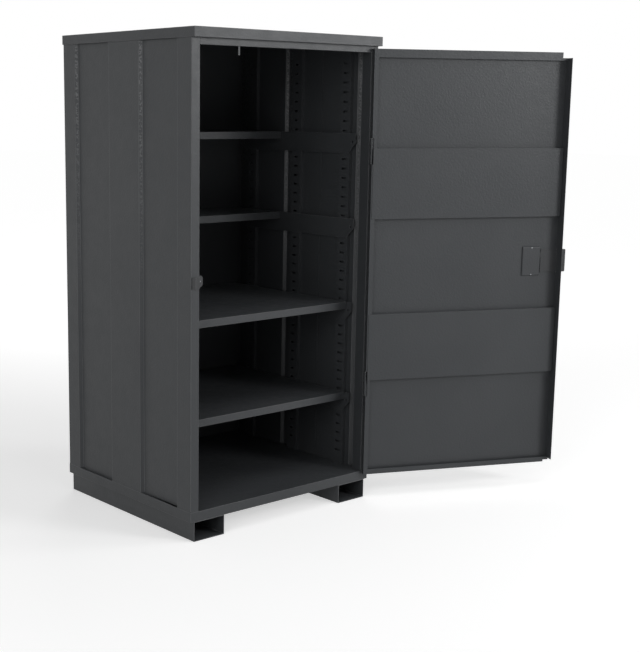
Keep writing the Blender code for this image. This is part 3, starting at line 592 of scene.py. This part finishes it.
# %% Turn handle
BAR_REACH, BAR_SIDE = 0.055, 0.009
BAR_FRONT, BAR_MIDDLE, BAR_BACK = -0.0336, -0.0286, -0.0236
END_WIDTH, QUARTER_WIDTH = 0.62, 0.86
HUB_RADIUS, HUB_BACK, HUB_EDGE = 0.011, -0.0046, 0.0009
SPINDLE_RADIUS, SPINDLE_FRONT, SPINDLE_BACK = 0.005, -0.010, 0.0062
CAST_ANGLE = 50
handle = block("cast_handle", (-BAR_REACH, BAR_FRONT, -BAR_SIDE), (BAR_REACH, BAR_BACK, BAR_SIDE))
edit(handle)
bpy.ops.mesh.select_all(action="SELECT")
bpy.ops.mesh.subdivide(number_cuts=3)
for reach, width in ((BAR_REACH, END_WIDTH), (BAR_REACH / 2, QUARTER_WIDTH)):
    choose_edges(handle, lambda a, b: abs(abs(a.x) - reach) < TINY and abs(a.x - b.x) < TINY)
    bpy.ops.transform.resize(value=(1, 1, width), center_override=(0, BAR_MIDDLE, 0))
done()
apply(handle, "SUBSURF", levels=2, render_levels=2)
hub = bar("hub", HUB_RADIUS, BAR_MIDDLE, HUB_BACK)
edit(hub)
choose_edges(hub, lambda a, b: abs(a.y - b.y) < TINY)
bpy.ops.mesh.bevel(offset=HUB_EDGE, segments=3, affect="EDGES")
done()
spindle = bar("spindle", SPINDLE_RADIUS, SPINDLE_FRONT, SPINDLE_BACK)
for piece in (handle, hub, spindle):
    piece.select_set(True)
bpy.context.view_layer.objects.active = handle
bpy.ops.object.join()
hang_on_door(handle)
dress(handle, "handle", dark_coat, "turn_handle", CAST_ANGLE)
print(handle.name, len(handle.data.polygons), "faces")

# %% Handle plate
PLATE_SIDE, PLATE_BOTTOM, PLATE_TOP = 0.028, -0.084, 0.046
PLATE_FRONT, PLATE_BACK = -0.0043, -0.0003
PLATE_CORNER, PLATE_EDGE = 0.012, 0.0012
HOLE_REACH = 0.010
KEY_RADIUS, KEY_HEIGHT = 0.008, -0.038
plate = block("handle_rose", (-PLATE_SIDE, PLATE_FRONT, PLATE_BOTTOM), (PLATE_SIDE, PLATE_BACK, PLATE_TOP))
edit(plate)
choose_edges(plate, lambda a, b: abs(a.y - b.y) > TINY)
bpy.ops.mesh.bevel(offset=PLATE_CORNER, segments=8, affect="EDGES")
choose_faces(plate, lambda normal: normal.y < -SQUARE_ON)
bpy.ops.mesh.bevel(offset=PLATE_EDGE, segments=3, affect="EDGES")
done()
cut_away(plate, bar("spindle_hole", SPINDLE_RADIUS + CLEARANCE, -HOLE_REACH, HOLE_REACH))
cut_away(plate, bar("cylinder_hole", KEY_RADIUS + CLEARANCE, -HOLE_REACH, HOLE_REACH, KEY_HEIGHT))
hang_on_door(plate)
dress(plate, "door", dark_coat, "handle_plate")
print(plate.name, len(plate.data.polygons), "faces")

# %% Lock cylinder
BARREL_FRONT, BARREL_BACK, BARREL_EDGE = -0.0073, 0.0062, 0.0008
FACE_RING, FACE_STEP, FACE_SINK = 0.0012, 0.0003, 0.0004
KEYWAY_SIDE, KEYWAY_END = 0.0009, 0.004
KEYWAY_FRONT, KEYWAY_FLOOR = -0.009, -0.0013
barrel = bar("keyed_barrel", KEY_RADIUS, BARREL_FRONT, BARREL_BACK, KEY_HEIGHT, sides=48)
edit(barrel)
choose_edges(barrel, lambda a, b: max(a.y, b.y) < BARREL_FRONT + TINY)
bpy.ops.mesh.bevel(offset=BARREL_EDGE, segments=3, affect="EDGES")
choose_faces(barrel, lambda normal: normal.y < -SQUARE_ON)
bpy.ops.mesh.inset(thickness=FACE_RING)
bpy.ops.mesh.inset(thickness=FACE_STEP, depth=-FACE_SINK)
done()
low = (-KEYWAY_SIDE, KEYWAY_FRONT, KEY_HEIGHT - KEYWAY_END)
high = (KEYWAY_SIDE, KEYWAY_FLOOR, KEY_HEIGHT + KEYWAY_END)
cut_away(barrel, block("keyway", low, high))
hang_on_door(barrel)
dress(barrel, "key", zinc, "lock_cylinder")
print(barrel.name, len(barrel.data.polygons), "faces")

# %% [markdown]
# ## Keeper and welded seams
#
# The keeper is a folded strap, and its free tongue has rounded corners so that it can't snag what is put
# into the cabinet. The walls stand on the base and are welded to it all round, which leaves a low bead along
# each foot. Both start from copies of the solids: the keeper's corners are bevelled, and a bead is the
# lowest few millimetres of a wall, cut off, thickened and rounded.

# %% Keeper
TONGUE_CORNER, STRAP_EDGE = 0.014, 0.0006


def merged_copy(name, new_name):
    """A copy of a solid, open in edit mode, with its loose triangles joined into clean faces."""
    piece = bpy.data.objects.new(new_name, nodes[name].data.copy())
    scene.collection.objects.link(piece)
    edit(piece)
    bpy.ops.mesh.select_all(action="SELECT")
    bpy.ops.mesh.remove_doubles(threshold=TINY)
    bpy.ops.mesh.dissolve_limited(angle_limit=FLAT_ANGLE)
    return piece


strap = merged_copy("keeper", "rounded_keeper")
tongue_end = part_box("keeper")[1][0]
choose_edges(strap, lambda a, b: min(a.x, b.x) > tongue_end - TINY and abs(a.y - b.y) > TINY)
bpy.ops.mesh.bevel(offset=TONGUE_CORNER, segments=8, affect="EDGES")
done()
apply(strap, "BEVEL", width=STRAP_EDGE, segments=2, limit_method="ANGLE", angle_limit=FOLD_ANGLE)
dress(strap, "cabinet", dark_coat, "keeper")
print(strap.name, len(strap.data.polygons), "faces")

# %% Welded seams
BEAD_HEIGHT, BEAD_DROP = 0.004, 0.0008
BEAD_SWELL, BEAD_EDGE = 0.001, 0.001
for wall in ("left_side_panel", "right_side_panel", "back_panel", "left_front_post", "right_front_post"):
    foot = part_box(wall)[0][2]
    bead = merged_copy(wall, wall + "_bead")
    bpy.ops.mesh.select_all(action="SELECT")
    bpy.ops.mesh.bisect(
        plane_co=(0, 0, foot + BEAD_HEIGHT), plane_no=(0, 0, 1), clear_outer=True, use_fill=True
    )
    choose_faces(bead, lambda normal: normal.z < -SQUARE_ON)
    bpy.ops.transform.translate(value=(0, 0, -BEAD_DROP))
    bpy.ops.mesh.select_all(action="SELECT")
    bpy.ops.mesh.normals_make_consistent(inside=False)
    bpy.ops.transform.shrink_fatten(value=BEAD_SWELL)
    done()
    apply(bead, "BEVEL", width=BEAD_EDGE, segments=2, limit_method="ANGLE", angle_limit=FOLD_ANGLE)
    dress(bead, "cabinet", charcoal_coat)
    print(bead.name, len(bead.data.polygons), "faces")
